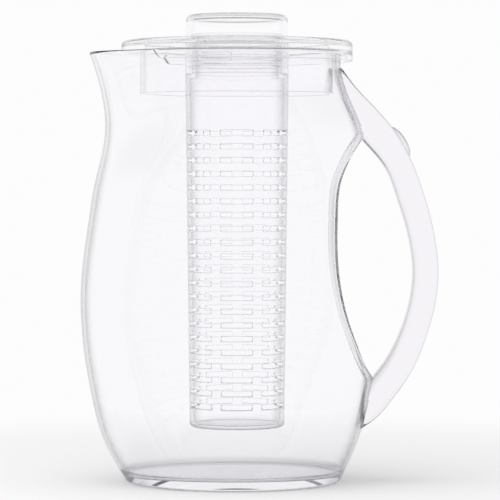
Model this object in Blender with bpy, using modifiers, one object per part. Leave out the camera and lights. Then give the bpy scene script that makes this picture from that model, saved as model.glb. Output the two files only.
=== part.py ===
"""Fruit infusion pitcher of clear acrylic: jug with a bonded handle, lid with a knob, and a slotted infuser
that hangs from the lid. Metres, +Z up. The origin is on the table, under the axis of the lid. The spout
points along -X and the handle along +X.
"""

import math

import bmesh
import bpy
import numpy as np

# Jug: heights are from the table, drops are from the rim, swells are from the mouth's radius.
RIM_Z = 0.228
MOUTH_RADIUS = 0.0551
WALL = 0.0021
RIM_ROUND = 0.0008
FLOOR = 0.005
BASE_RADIUS = 0.0567
BASE_SHIFT = -0.0021
BASE_ROUND = 0.0012
FLOOR_ROUND = 0.003
FOOT_Z = 0.0186
FOOT_LEFT = 0.0696
FOOT_RIGHT = 0.0632
FOOT_DEPTH = 0.0600
LOW_Z = 0.0525
LOW_LEFT = 0.0788
BELLY_Z = 0.093
BELLY_LEFT = 0.0832
BELLY_RIGHT = 0.0785
BELLY_DEPTH = 0.0620
CHEST_DROP = 0.078
CHEST_LEFT = 0.0772
CHEST_RIGHT = 0.0765
CHEST_DEPTH = 0.0615
NECK_DROP = 0.036
NECK_LEFT_SWELL = 0.0149
NECK_DEPTH_SWELL = 0.0027
THROAT_DROP = 0.008

# Spout: a beak that swells out of the round mouth and fades down the neck.
SPOUT_REACH = 0.0235
SPOUT_HOOK = 0.0028
SPOUT_SPREAD = math.radians(28)
SPOUT_FADE = 0.075

# Grip hollow: a scoop cut square across the jug's right side, sharp where it meets the wall.
SCOOP_TOP_DROP = 0.0445
SCOOP_TOP_X = 0.0680
SCOOP_HIGH_DROP = 0.065
SCOOP_HIGH_X = 0.0554
SCOOP_WAIST_DROP = 0.091
SCOOP_WAIST_X = 0.0522
SCOOP_LOW_Z = 0.078
SCOOP_LOW_X = 0.0614
SCOOP_FOOT_Z = 0.0553
SCOOP_FOOT_X = 0.0727
SCOOP_RUN_OUT = 0.010
SCOOP_SOFTEN = 0.0025

# Handle: a solid bar. Its outer and inner edges have equally many stations, from the upper root to the lower.
# A root's stations are (height, distance out of the wall), a bend's (height, distance in from the grip). On
# the upper half a height is a drop from the rim.
HANDLE_WIDTH = 0.020
HANDLE_REACH = 0.1068
GRIP_THICKNESS = 0.0132
GRIP_SAG = 0.007
ROOT_SINK = 0.006
SECTION_POWER = 4
OUTER_UPPER_ROOT = [(0.0085, 0), (0.0270, 0.0090), (0.0400, 0.0165)]
OUTER_UPPER_BEND = [(0.0452, 0.0205), (0.0565, 0.0153), (0.0738, 0.0085)]
OUTER_LOWER_BEND = [(0.0780, 0.0056), (0.0610, 0.0132), (0.0440, 0.0233)]
OUTER_LOWER_ROOT = [(0.0330, 0.0070), (0.0275, -0.0010)]
INNER_UPPER_ROOT = [(0.0160, -ROOT_SINK), (0.0385, -ROOT_SINK), (0.0475, 0.0005)]
INNER_UPPER_BEND = [(0.0530, 0.0212), (0.0630, 0.0162), (0.0780, 0.0082)]
INNER_LOWER_BEND = [(0.0815, 0.0059), (0.0665, 0.0131)]
INNER_LOWER_ROOT = [(0.0535, -0.0005), (0.0405, -ROOT_SINK), (0.0315, -ROOT_SINK)]
THUMB_DROP = 0.0486
THUMB_LENGTH = 0.0160
THUMB_WIDTH = 0.0120
THUMB_RISE = 0.0029

# Lid
PLATE = 0.003
SEAT_THICKNESS = 0.0056
EDGE_ROUND = 0.0026
LIP_GAP = 0.0037
LIP_WALL = 0.0026
LIP_DROP = 0.0054
LIP_ROUND = 0.0006
GROOVE_DEPTH = 0.0005
GROOVE_HALF = 0.0004
GROOVE_RISE = 0.0006
NOTCH_GAP = 0.0017
SKIRT_GAP = 0.0020
SKIRT_WALL = 0.0019
SKIRT_DROP = 0.0226
COLLAR_DROP = 0.0121
COLLAR_WALL = 0.0018

# Knob
KNOB_HEIGHT = 0.0138
KNOB_WALL = 0.0025
KNOB_ROUND = 0.0025
KNOB_INSET = 0.0004
KNOB_FLARE = 0.0008
KNOB_FLARE_HEIGHT = 0.0024
SPIGOT_HEIGHT = 0.0034
SPIGOT_WALL = 0.0018

# Infuser
TUBE_RADIUS = 0.0274
TUBE_FOOT_RADIUS = 0.0252
TUBE_WALL = 0.0020
TUBE_FOOT_GAP = 0.024
TUBE_FOOT_ROUND = 0.0020
LUG_COUNT = 3
LUG_ANGLE = math.radians(36)
LUG_HEIGHT = 0.0020
LUG_REACH = 0.0011
LUG_DROP = 0.0062
STOP_ANGLE = math.radians(5)
STOP_GAP = math.radians(1)
SLOT_COLUMNS = 7
SLOT_WIDTH = 0.0176
SLOT_HEIGHT = 0.0030
SLOT_PITCH = 0.0072
SLOT_END = 0.0011
SLOTS_TOP_DROP = 0.031
SLOTS_FOOT_RISE = 0.011

# Fits: bonded and seated faces keep a glue line, turning faces a running gap.
BOND = 0.0003
RUNNING_GAP = 0.0004

# Facets
JUG_SIDES = 40
RING_COUNTS = (5, 6, 4, 6)
HANDLE_SIDES = 14
HANDLE_STATIONS = 26
THUMB_SIDES = 16
THUMB_RINGS = 9
TURN_STEPS = 42
ROUND_STEPS = 3
NOTCH_STEPS = 12
SECTOR_STEPS = 4

# Heights and radii that pieces share
SEAT_Z = RIM_Z + BOND
PLATE_TOP_Z = SEAT_Z + SEAT_THICKNESS
PLATE_UNDER_Z = PLATE_TOP_Z - PLATE
COLLAR_FOOT_Z = SEAT_Z - COLLAR_DROP
COLLAR_BORE = TUBE_RADIUS - COLLAR_WALL
NECK_RADIUS = COLLAR_BORE - LUG_REACH - RUNNING_GAP
KNOB_RADIUS = TUBE_RADIUS - KNOB_INSET
KNOB_BORE = KNOB_RADIUS - KNOB_WALL
LUG_FOOT_Z = PLATE_UNDER_Z - LUG_DROP
TUBE_FOOT_Z = FLOOR + TUBE_FOOT_GAP
SCOOP_TOP_Z = RIM_Z - SCOOP_TOP_DROP

for old in list(bpy.data.objects):
    bpy.data.objects.remove(old, do_unlink=True)

pieces = bpy.data.collections.new("fruit_infusion_pitcher")
helpers = bpy.data.collections.new("helpers")
for collection in (pieces, helpers):
    bpy.context.scene.collection.children.link(collection)


def acrylic(name, color, roughness):
    """Clear acrylic: a tinted Principled surface that lets light through."""
    material = bpy.data.materials.new(name)
    material.use_nodes = True
    shader = material.node_tree.nodes["Principled BSDF"]
    shader.inputs["Base Color"].default_value = (*color, 1)
    shader.inputs["Roughness"].default_value = roughness
    shader.inputs["Metallic"].default_value = 0
    shader.inputs["Transmission Weight"].default_value = 1
    shader.inputs["IOR"].default_value = 1.49
    return material


def add_object(name, mesh, material=None):
    """A piece with its material, or a hidden helper for a Boolean where no material is given."""
    obj = bpy.data.objects.new(name, mesh)
    if material is None:
        helpers.objects.link(obj)
        obj.hide_render = True
        obj.display_type = "WIRE"
    else:
        pieces.objects.link(obj)
        mesh.materials.append(material)
    return obj


def smooth(points, at):
    """Values at the places `at` of a smooth curve through (place, value) points in rising order."""
    places, values = np.array(sorted(points)).T
    slopes = np.gradient(values, places)
    index = np.clip(np.searchsorted(places, at) - 1, 0, len(places) - 2)
    step = places[index + 1] - places[index]
    t = (at - places[index]) / step
    start = (1 + 2 * t) * (1 - t) ** 2 * values[index] + t * (1 - t) ** 2 * step * slopes[index]
    end = t**2 * (3 - 2 * t) * values[index + 1] + t**2 * (t - 1) * step * slopes[index + 1]
    return start + end


def loft(rings, is_hole=lambda row, side: False, capped=True):
    """A mesh through rings with equally many points, closed at the first ring and, if capped, at the last."""
    count = len(rings[0])
    bm = bmesh.new()
    rows = [[bm.verts.new(point) for point in ring] for ring in rings]
    for row, (low, high) in enumerate(zip(rows, rows[1:])):
        for i in range(count):
            j = (i + 1) % count
            if not is_hole(row, i):
                bm.faces.new((low[i], low[j], high[j], high[i]))
    bm.faces.new(rows[0][::-1])
    if capped:
        bm.faces.new(rows[-1])
    bmesh.ops.recalc_face_normals(bm, faces=bm.faces)
    mesh = bpy.data.meshes.new("loft")
    bm.to_mesh(mesh)
    bm.free()
    return mesh


def turned(name, profile, steps, material):
    """A profile of (radius, height) points, outer side from top to bottom, turned about Z."""
    closed = profile[0][0] > 0
    mesh = bpy.data.meshes.new(name)
    count = len(profile)
    edges = [(i, i + 1) for i in range(count - 1)] + ([(count - 1, 0)] if closed else [])
    mesh.from_pydata([(radius, 0, height) for radius, height in profile], edges, [])
    obj = add_object(name, mesh, material)
    screw = obj.modifiers.new("turn", "SCREW")
    screw.steps = screw.render_steps = steps
    screw.use_merge_vertices = True
    screw.merge_threshold = 0.00001
    return obj


def combine(obj, helper, operation):
    boolean = obj.modifiers.new(helper.name, "BOOLEAN")
    boolean.operation = operation
    boolean.object = helper
    boolean.solver = "EXACT"


def quarter_round(radius, height, size, start, steps=ROUND_STEPS):
    """Points of a quarter circle about (radius, height), turning clockwise from the angle `start`."""
    angles = start - np.linspace(0, math.pi / 2, steps + 1)
    return [(radius + size * math.cos(a), height + size * math.sin(a)) for a in angles]


def sector(inner, outer, low, high, start, stop, steps=SECTOR_STEPS):
    """Mesh of a block that is part of a flat ring about Z, between two angles."""
    rings = []
    for angle in np.linspace(start, stop, steps + 1):
        across = np.array([math.cos(angle), math.sin(angle), 0])
        corners = ((inner, low), (outer, low), (outer, high), (inner, high))
        rings.append([across * radius + (0, 0, height) for radius, height in corners])
    return loft(rings)


def joined(name, meshes):
    """A hidden object that holds several closed meshes, which don't touch."""
    bm = bmesh.new()
    for mesh in meshes:
        bm.from_mesh(mesh)
        bpy.data.meshes.remove(mesh)
    mesh = bpy.data.meshes.new(name)
    bm.to_mesh(mesh)
    bm.free()
    return add_object(name, mesh)


# Jug
def below_rim(drop):
    return RIM_Z - drop


LEFT_SIDE = [
    (0, BASE_RADIUS - BASE_SHIFT),
    (FOOT_Z, FOOT_LEFT),
    (LOW_Z, LOW_LEFT),
    (BELLY_Z, BELLY_LEFT),
    (below_rim(CHEST_DROP), CHEST_LEFT),
    (below_rim(NECK_DROP), MOUTH_RADIUS + NECK_LEFT_SWELL),
    (below_rim(THROAT_DROP), MOUTH_RADIUS + SPOUT_REACH - SPOUT_HOOK),
    (RIM_Z, MOUTH_RADIUS + SPOUT_REACH),
]
RIGHT_SIDE = [
    (0, BASE_RADIUS + BASE_SHIFT),
    (FOOT_Z, FOOT_RIGHT),
    (SCOOP_FOOT_Z, SCOOP_FOOT_X),
    (BELLY_Z, BELLY_RIGHT),
    (below_rim(CHEST_DROP), CHEST_RIGHT),
    (SCOOP_TOP_Z, SCOOP_TOP_X),
    (below_rim(THROAT_DROP), MOUTH_RADIUS),
    (RIM_Z, MOUTH_RADIUS),
]
DEPTH = [
    (0, BASE_RADIUS),
    (FOOT_Z, FOOT_DEPTH),
    (BELLY_Z, BELLY_DEPTH),
    (below_rim(CHEST_DROP), CHEST_DEPTH),
    (below_rim(NECK_DROP), MOUTH_RADIUS + NECK_DEPTH_SWELL),
    (below_rim(THROAT_DROP), MOUTH_RADIUS),
    (RIM_Z, MOUTH_RADIUS),
]
SCOOP = [
    (SCOOP_FOOT_Z - SCOOP_RUN_OUT, SCOOP_FOOT_X + SCOOP_RUN_OUT),
    (SCOOP_FOOT_Z, SCOOP_FOOT_X),
    (SCOOP_LOW_Z, SCOOP_LOW_X),
    (below_rim(SCOOP_WAIST_DROP), SCOOP_WAIST_X),
    (below_rim(SCOOP_HIGH_DROP), SCOOP_HIGH_X),
    (SCOOP_TOP_Z, SCOOP_TOP_X),
    (SCOOP_TOP_Z + SCOOP_RUN_OUT, SCOOP_TOP_X + SCOOP_RUN_OUT),
]


def scooped(x, z):
    """The lesser of x and the grip hollow at height z, with a softened corner between the two."""
    if not SCOOP[0][0] < z < SCOOP[-1][0]:
        return x
    hollow = smooth(SCOOP, z)
    near = np.maximum(SCOOP_SOFTEN - np.abs(x - hollow), 0) / SCOOP_SOFTEN
    return np.minimum(x, hollow) - near**2 * SCOOP_SOFTEN / 4


def jug_ring(z, grow):
    """The jug's outline at height z, as an egg with a beak and a scooped side, grown outwards by `grow`."""
    angle = np.arange(JUG_SIDES) * 2 * math.pi / JUG_SIDES
    fade = np.clip(1 - (RIM_Z - z) / SPOUT_FADE, 0, 1)
    beak = SPOUT_REACH * fade**2 * (3 - 2 * fade)
    left = smooth(LEFT_SIDE, z) - beak
    x = np.where(np.cos(angle) > 0, smooth(RIGHT_SIDE, z), left) * np.cos(angle)
    y = smooth(DEPTH, z) * np.sin(angle)
    swell = beak * np.exp(-(((angle - math.pi) / SPOUT_SPREAD) ** 2))
    x = scooped(x + swell * np.cos(angle), z)
    y = y + swell * np.sin(angle)
    along = np.stack([np.roll(x, -1) - np.roll(x, 1), np.roll(y, -1) - np.roll(y, 1)])
    out_x, out_y = np.stack([along[1], -along[0]]) / np.hypot(*along)
    return np.stack([x + grow * out_x, y + grow * out_y, np.full(JUG_SIDES, z)], axis=1)


def heights(bottom, top):
    """Ring heights, with rings at both ends and the waist of the grip hollow."""
    marks = [bottom, SCOOP_FOOT_Z, below_rim(SCOOP_WAIST_DROP), SCOOP_TOP_Z, top]
    spans = zip(marks, marks[1:], RING_COUNTS)
    return np.concatenate([np.linspace(a, b, n, endpoint=False) for a, b, n in spans] + [[top]])


def jug_surface(bottom, top, grow):
    return [jug_ring(z, grow) for z in heights(bottom, top)]


rim_rings = [jug_ring(RIM_Z, -RIM_ROUND), jug_ring(RIM_Z, RIM_ROUND - WALL)]
outer_rings = [jug_ring(0, -BASE_ROUND)] + jug_surface(BASE_ROUND, RIM_Z - RIM_ROUND, 0)
inner_rings = jug_surface(FLOOR + FLOOR_ROUND, RIM_Z - RIM_ROUND, -WALL)[::-1]
floor_rings = [jug_ring(FLOOR, -WALL - FLOOR_ROUND)]
jug_mesh = loft(outer_rings + rim_rings + inner_rings + floor_rings)
jug_body = add_object("jug_body", jug_mesh, acrylic("clear_jug", (0.93, 0.93, 0.96), 0.04))

# Handle
wall_block = add_object("jug_outside", loft(jug_surface(0, RIM_Z, BOND)))


def wall_x(z):
    """The jug's right side at height z, on the plane of the handle."""
    return float(scooped(np.array(smooth(RIGHT_SIDE, z)), z))


def on_wall(z, out):
    return (wall_x(z) + out, z)


def edge(upper_root, upper_bend, lower_bend, lower_root, reach):
    """(x, z) points of one edge of the handle, which reaches furthest out at the grip."""
    grip_z = (SCOOP_TOP_Z + SCOOP_FOOT_Z) / 2 - GRIP_SAG
    points = [on_wall(below_rim(drop), out) for drop, out in upper_root]
    points += [(reach - back, below_rim(drop)) for drop, back in upper_bend]
    points += [(reach, grip_z)]
    points += [(reach - back, z) for z, back in lower_bend]
    return points + [on_wall(z, out) for z, out in lower_root]


outer_edge = edge(OUTER_UPPER_ROOT, OUTER_UPPER_BEND, OUTER_LOWER_BEND, OUTER_LOWER_ROOT, HANDLE_REACH)
inner_reach = HANDLE_REACH - GRIP_THICKNESS
inner_edge = edge(INNER_UPPER_ROOT, INNER_UPPER_BEND, INNER_LOWER_BEND, INNER_LOWER_ROOT, inner_reach)


def along_edge(points):
    """Evenly many stations along a smooth curve through the (x, z) points of an edge of the handle."""
    place = np.arange(len(points))
    at = np.linspace(0, len(points) - 1, HANDLE_STATIONS)
    xs, zs = np.array(points).T
    return np.stack([smooth(list(zip(place, xs)), at), smooth(list(zip(place, zs)), at)], axis=1)


def handle_ring(outer, inner):
    """A rounded section of the handle that reaches from its inner to its outer edge."""
    angle = np.arange(HANDLE_SIDES) * 2 * math.pi / HANDLE_SIDES
    sweep = np.abs(np.cos(angle)) ** (2 / SECTION_POWER) * np.sign(np.cos(angle))
    side = np.abs(np.sin(angle)) ** (2 / SECTION_POWER) * np.sign(np.sin(angle))
    x, z = ((outer + inner)[:, None] + (outer - inner)[:, None] * sweep) / 2
    return np.stack([x, side * HANDLE_WIDTH / 2, z], axis=1)


outer_curve = along_edge(outer_edge)
handle_rings = [handle_ring(o, i) for o, i in zip(outer_curve, along_edge(inner_edge))]
handle = add_object("handle", loft(handle_rings), acrylic("clear_handle", (0.94, 0.94, 0.97), 0.05))
combine(handle, wall_block, "DIFFERENCE")


def thumb_ring(share, middle, along):
    """A ring of the lens-shaped thumb rest, at a share of its half length from its middle."""
    angle = np.arange(THUMB_SIDES) * 2 * math.pi / THUMB_SIDES
    size = math.sqrt(1 - share**2)
    rise = THUMB_RISE * size * np.cos(angle)
    x = middle[0] + share * THUMB_LENGTH / 2 * along[0] - rise * along[1]
    z = middle[1] + share * THUMB_LENGTH / 2 * along[1] + rise * along[0]
    return np.stack([x, THUMB_WIDTH / 2 * size * np.sin(angle), z], axis=1)


# The thumb rest lies along the outer edge, half sunk in the bar.
thumb_z = below_rim(THUMB_DROP)
thumb_at = np.argmin(np.abs(outer_curve[:, 1] - thumb_z))
thumb_middle = (np.interp(-thumb_z, -outer_curve[:, 1], outer_curve[:, 0]), thumb_z)
thumb_along = outer_curve[thumb_at + 1] - outer_curve[thumb_at - 1]
thumb_along = thumb_along / np.hypot(*thumb_along)
shares = np.sin(np.linspace(-1, 1, THUMB_RINGS + 2) * math.pi / 2)[1:-1]
thumb_rings = [thumb_ring(share, thumb_middle, thumb_along) for share in shares]
combine(handle, joined("thumb_rest", [loft(thumb_rings)]), "UNION")

# Lid
skirt_radius = MOUTH_RADIUS - WALL - SKIRT_GAP
lip_bore = MOUTH_RADIUS + LIP_GAP
flange_radius = lip_bore + LIP_WALL
lip_foot_z = SEAT_Z - LIP_DROP
skirt_foot_z = SEAT_Z - SKIRT_DROP
spigot_radius = KNOB_BORE - BOND
spigot_bore = spigot_radius - SPIGOT_WALL
groove_z = SEAT_Z + GROOVE_RISE


def rounded_foot(outer, inner, foot, size):
    """Lower end of a thin upright wall, with both corners eased."""
    return [(outer, foot + size), (outer - size, foot), (inner + size, foot), (inner, foot + size)]


lid_profile = [
    (spigot_radius, PLATE_TOP_Z + SPIGOT_HEIGHT),
    (spigot_radius, PLATE_TOP_Z),
    *quarter_round(flange_radius - EDGE_ROUND, PLATE_TOP_Z - EDGE_ROUND, EDGE_ROUND, math.pi / 2),
    (flange_radius, groove_z + GROOVE_HALF),
    (flange_radius - GROOVE_DEPTH, groove_z),
    (flange_radius, groove_z - GROOVE_HALF),
    *rounded_foot(flange_radius, lip_bore, lip_foot_z, LIP_ROUND),
    (lip_bore, SEAT_Z),
    (skirt_radius, SEAT_Z),
    *rounded_foot(skirt_radius, skirt_radius - SKIRT_WALL, skirt_foot_z, LIP_ROUND),
    (skirt_radius - SKIRT_WALL, PLATE_UNDER_Z),
    (TUBE_RADIUS, PLATE_UNDER_Z),
    (TUBE_RADIUS, COLLAR_FOOT_Z),
    (COLLAR_BORE, COLLAR_FOOT_Z),
    (COLLAR_BORE, PLATE_UNDER_Z),
    (spigot_bore, PLATE_UNDER_Z),
    (spigot_bore, PLATE_TOP_Z + SPIGOT_HEIGHT),
]
lid = turned("lid", lid_profile, TURN_STEPS, acrylic("clear_lid", (0.92, 0.92, 0.96), 0.04))

# The lip is left out over the spout, as far round as the beak swells nearly out to the lip.
notch_half = SPOUT_SPREAD * math.sqrt(math.log(SPOUT_REACH / (LIP_GAP - NOTCH_GAP)))
notch = sector(
    (skirt_radius + lip_bore) / 2,
    flange_radius + LIP_WALL,
    lip_foot_z - LIP_WALL,
    SEAT_Z,
    math.pi - notch_half,
    math.pi + notch_half,
    NOTCH_STEPS,
)
combine(lid, joined("spout_notch", [notch]), "DIFFERENCE")

# Ledges in the collar carry the infuser's lugs, and stops end its turn.
lug_angles = np.arange(LUG_COUNT) * 2 * math.pi / LUG_COUNT
ledge_bore = COLLAR_BORE - LUG_REACH
ledge_top_z = LUG_FOOT_Z - BOND
ledges = []
stops = []
for middle in lug_angles:
    start = middle - LUG_ANGLE / 2
    stop = middle + LUG_ANGLE / 2 + STOP_GAP
    low = ledge_top_z - LUG_HEIGHT
    ledges.append(sector(ledge_bore, COLLAR_BORE + BOND, low, ledge_top_z, start, stop + STOP_ANGLE))
    high = LUG_FOOT_Z + LUG_HEIGHT
    stops.append(sector(ledge_bore, COLLAR_BORE + BOND, low, high, stop, stop + STOP_ANGLE))
combine(lid, joined("bayonet_ledges", ledges), "UNION")
combine(lid, joined("bayonet_stops", stops), "UNION")

# Knob
knob_foot_z = PLATE_TOP_Z + BOND
knob_top_z = PLATE_TOP_Z + KNOB_HEIGHT
knob_profile = [
    (0, knob_top_z),
    *quarter_round(KNOB_RADIUS - KNOB_ROUND, knob_top_z - KNOB_ROUND, KNOB_ROUND, math.pi / 2),
    (KNOB_RADIUS, knob_foot_z + KNOB_FLARE_HEIGHT),
    (KNOB_RADIUS + KNOB_FLARE, knob_foot_z),
    (KNOB_BORE, knob_foot_z),
    (KNOB_BORE, knob_top_z - KNOB_WALL),
    (0, knob_top_z - KNOB_WALL),
]
lid_knob = turned("lid_knob", knob_profile, TURN_STEPS, acrylic("clear_knob", (0.94, 0.94, 0.97), 0.04))

# Infuser: an open surface from the foot to the neck, with the slots left out of it, thickened inwards.
neck_top_z = PLATE_UNDER_Z - BOND
shoulder_z = COLLAR_FOOT_Z - BOND
half_slot = math.asin(SLOT_WIDTH / 2 / TUBE_RADIUS)
slot_end = SLOT_END / TUBE_RADIUS
slot_edges = np.array([-half_slot, slot_end - half_slot, -half_slot / 3])
slot_edges = np.concatenate([slot_edges, -slot_edges[::-1]])
column_middles = -math.pi / 2 + np.arange(SLOT_COLUMNS) * 2 * math.pi / SLOT_COLUMNS
tube_angles = (column_middles[:, None] + slot_edges).ravel()
is_slot_tip = np.tile(np.abs(slot_edges) == half_slot, SLOT_COLUMNS)
slot_zs = np.arange(shoulder_z - SLOTS_TOP_DROP, TUBE_FOOT_Z + SLOTS_FOOT_RISE, -SLOT_PITCH)[::-1]


def tube_ring(radius, z, tip_shift=0):
    """A ring of the infuser, with its points at the slots' tips moved up by `tip_shift`."""
    zs = z + is_slot_tip * tip_shift
    return np.stack([radius * np.cos(tube_angles), radius * np.sin(tube_angles), zs], axis=1)


def tube_radius(z):
    """The tube's outer radius, which narrows evenly from the shoulder to the foot."""
    return np.interp(z, [TUBE_FOOT_Z, shoulder_z], [TUBE_FOOT_RADIUS, TUBE_RADIUS])


round_middle = (TUBE_FOOT_RADIUS - TUBE_FOOT_ROUND, TUBE_FOOT_Z + TUBE_FOOT_ROUND)
foot_curve = quarter_round(*round_middle, TUBE_FOOT_ROUND, 0, steps=2)[::-1]
foot_rings = [tube_ring(radius, z) for radius, z in foot_curve]
slot_rings = []
for z in slot_zs:
    for side in (-1, 1):
        edge_z = z + side * SLOT_HEIGHT / 2
        slot_rings.append(tube_ring(tube_radius(edge_z), edge_z, -side * SLOT_END))
neck_curve = [(TUBE_RADIUS, shoulder_z), (NECK_RADIUS, shoulder_z), (NECK_RADIUS, neck_top_z)]
neck_rings = [tube_ring(radius, z) for radius, z in neck_curve]


def is_slot(row, side):
    """True for the faces between the two rings of a row of slots, apart from the posts between columns."""
    from_first = row - len(foot_rings)
    in_slot_row = 0 <= from_first < len(slot_rings) and from_first % 2 == 0
    return in_slot_row and side % len(slot_edges) != len(slot_edges) - 1


infuser_mesh = loft(foot_rings + slot_rings + neck_rings, is_slot, capped=False)
infuser = add_object("infuser", infuser_mesh, acrylic("clear_infuser", (0.94, 0.94, 0.97), 0.05))
shell = infuser.modifiers.new("wall", "SOLIDIFY")
shell.thickness = TUBE_WALL
shell.offset = -1
shell.use_even_offset = True

lugs = []
for middle in lug_angles:
    span = (middle - LUG_ANGLE / 2, middle + LUG_ANGLE / 2)
    lug_top_z = LUG_FOOT_Z + LUG_HEIGHT
    lugs.append(sector(NECK_RADIUS - BOND, NECK_RADIUS + LUG_REACH, LUG_FOOT_Z, lug_top_z, *span))
combine(infuser, joined("bayonet_lugs", lugs), "UNION")

for obj in pieces.objects:
    obj.data.shade_smooth()
    obj.data.set_sharp_from_angle(angle=math.radians(35))
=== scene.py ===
import math

import bmesh
import bpy
import numpy as np
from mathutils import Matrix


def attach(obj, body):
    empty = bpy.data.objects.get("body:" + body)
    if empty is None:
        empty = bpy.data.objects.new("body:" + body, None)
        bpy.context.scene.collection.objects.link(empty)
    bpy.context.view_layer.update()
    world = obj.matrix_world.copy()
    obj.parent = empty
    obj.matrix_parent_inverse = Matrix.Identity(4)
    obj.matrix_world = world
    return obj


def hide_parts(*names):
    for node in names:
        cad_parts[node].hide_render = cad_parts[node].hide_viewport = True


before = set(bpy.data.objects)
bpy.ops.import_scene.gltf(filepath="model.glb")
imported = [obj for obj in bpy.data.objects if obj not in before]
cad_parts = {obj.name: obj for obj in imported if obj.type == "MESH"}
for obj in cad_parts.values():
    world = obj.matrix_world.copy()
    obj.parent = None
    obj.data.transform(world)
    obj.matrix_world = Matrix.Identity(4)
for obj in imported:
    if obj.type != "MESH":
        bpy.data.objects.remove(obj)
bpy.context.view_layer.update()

# Jug: one injection moulding of clear acrylic, a thin wall on a thick floor. A spout is drawn out of the
# round mouth, and a hollow across the handle side leaves room for the fingers. The rim is fully round. It
# stands on its flat base and carries everything else.
RIM_Z = 0.228
MOUTH_RADIUS = 0.0551
WALL = 0.0021
FLOOR = 0.005
BASE_SHIFT = -0.0021
BASE_ROUND = 0.0012
FLOOR_ROUND = 0.003
SPOUT_REACH = 0.0235
SPOUT_SPREAD = math.radians(28)
SPOUT_FADE = 0.075
SCOOP_SOFTEN = 0.0025
JUG_SIDES = 320
OUTER_ROWS = 118
INNER_ROWS = 100
ROUND_POINTS = 9
RIM_POINTS = 13
FLOOR_SHARES = [0.15, 0.4, 0.7, 0.93, 0.995]
CURVE_POINTS = 601
BELL_HALF = 16
MERGE_DISTANCE = 1e-7
# Rings this close to a rounded edge keep the wall beside it flat in shading.
HOLD = 0.00015
# Stations up the jug as (height, distance from the axis): spout side, handle side, front and back, finger
# hollow.
JUG_LEFT = [
    (0, 0.0588), (0.0186, 0.0696), (0.0525, 0.0788), (0.093, 0.0832),
    (0.150, 0.0772), (0.192, 0.0700), (0.220, 0.0758), (RIM_Z, MOUTH_RADIUS + SPOUT_REACH),
]
JUG_RIGHT = [
    (0, 0.0546), (0.0186, 0.0632), (0.0553, 0.0727), (0.093, 0.0785),
    (0.150, 0.0765), (0.1835, 0.0680), (0.220, MOUTH_RADIUS), (RIM_Z, MOUTH_RADIUS),
]
JUG_DEPTH = [
    (0, 0.0567), (0.0186, 0.0600), (0.093, 0.0620),
    (0.150, 0.0615), (0.192, 0.0578), (0.220, MOUTH_RADIUS), (RIM_Z, MOUTH_RADIUS),
]
SCOOP = [
    (0.0453, 0.0827), (0.0553, 0.0727), (0.078, 0.0614), (0.137, 0.0522),
    (0.163, 0.0554), (0.1835, 0.0680), (0.1935, 0.0780),
]
ACRYLIC_IOR = 1.49
# Painted edge shade: the colours that clear pieces turn to where they are seen aslant, grey for dark outlines
# and pale for faint ones.
PAINTED_EDGE_GREY = (0.03, 0.03, 0.04)
PAINTED_EDGE_PALE = (0.70, 0.69, 0.78)
SHADOW_TINT = (0.975, 0.973, 0.978)
jug_angle = np.arange(JUG_SIDES) * 2 * math.pi / JUG_SIDES


def eased(stations, at):
    """Values at the places `at` of a curve through (place, value) stations. Between stations it is a cubic
    whose end slopes come from the neighbouring stations. A short bell-shaped average then makes its bending
    change gently."""
    places, values = np.array(stations, float).T
    slopes = np.gradient(values, places)
    fine = np.linspace(places[0], places[-1], CURVE_POINTS)
    index = np.clip(np.searchsorted(places, fine) - 1, 0, len(places) - 2)
    step = places[index + 1] - places[index]
    t = (fine - places[index]) / step
    curve = (1 + 2 * t) * (1 - t) ** 2 * values[index] + t * (1 - t) ** 2 * step * slopes[index]
    curve += t**2 * (3 - 2 * t) * values[index + 1] + t**2 * (t - 1) * step * slopes[index + 1]
    bell = np.exp(-(np.linspace(-2, 2, 2 * BELL_HALF + 1) ** 2))
    before = 2 * curve[0] - curve[BELL_HALF:0:-1]
    after = 2 * curve[-1] - curve[-2 : -BELL_HALF - 2 : -1]
    curve = np.convolve(np.concatenate([before, curve, after]), bell / bell.sum(), "valid")
    return np.interp(at, fine, curve)


def scooped(x, z):
    """The lesser of x and the finger hollow at height z. Where the two are closer than SCOOP_SOFTEN, a
    parabola rounds the corner between them."""
    inside = (z > SCOOP[0][0]) & (z < SCOOP[-1][0])
    hollow = np.where(inside, eased(SCOOP, z), 1)
    near = np.maximum(SCOOP_SOFTEN - np.abs(x - hollow), 0) / SCOOP_SOFTEN
    return np.minimum(x, hollow) - near**2 * SCOOP_SOFTEN / 4


def jug_rings(z, grow):
    """Outlines of the jug at heights z, grown outwards by `grow`. Each is an egg, an ellipse of unlike
    halves. A bell curve of the angle from -X adds the spout, fading with depth below the rim, and the finger
    hollow cuts it."""
    z = np.asarray(z, float)[:, None]
    fade = np.clip(1 - (RIM_Z - z) / SPOUT_FADE, 0, 1)
    beak = SPOUT_REACH * fade**2 * (3 - 2 * fade)
    reach = np.where(np.cos(jug_angle) > 0, eased(JUG_RIGHT, z), eased(JUG_LEFT, z) - beak)
    swell = beak * np.exp(-(((jug_angle - math.pi) / SPOUT_SPREAD) ** 2))
    x = scooped((reach + swell) * np.cos(jug_angle), z)
    y = (eased(JUG_DEPTH, z) + swell) * np.sin(jug_angle)
    along = np.stack([np.roll(x, -1, 1) - np.roll(x, 1, 1), np.roll(y, -1, 1) - np.roll(y, 1, 1)])
    out = along / np.hypot(*along) * np.asarray(grow, float)[:, None]
    return np.stack([x + out[1], y - out[0], z + 0 * x], axis=2)


def shrunk(ring, shares):
    """Copies of a flat ring drawn in to shares of its size, about the middle of the base."""
    middle = np.array([BASE_SHIFT, 0, ring[0, 2]])
    return middle + np.asarray(shares)[:, None, None] * (ring - middle)


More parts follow.
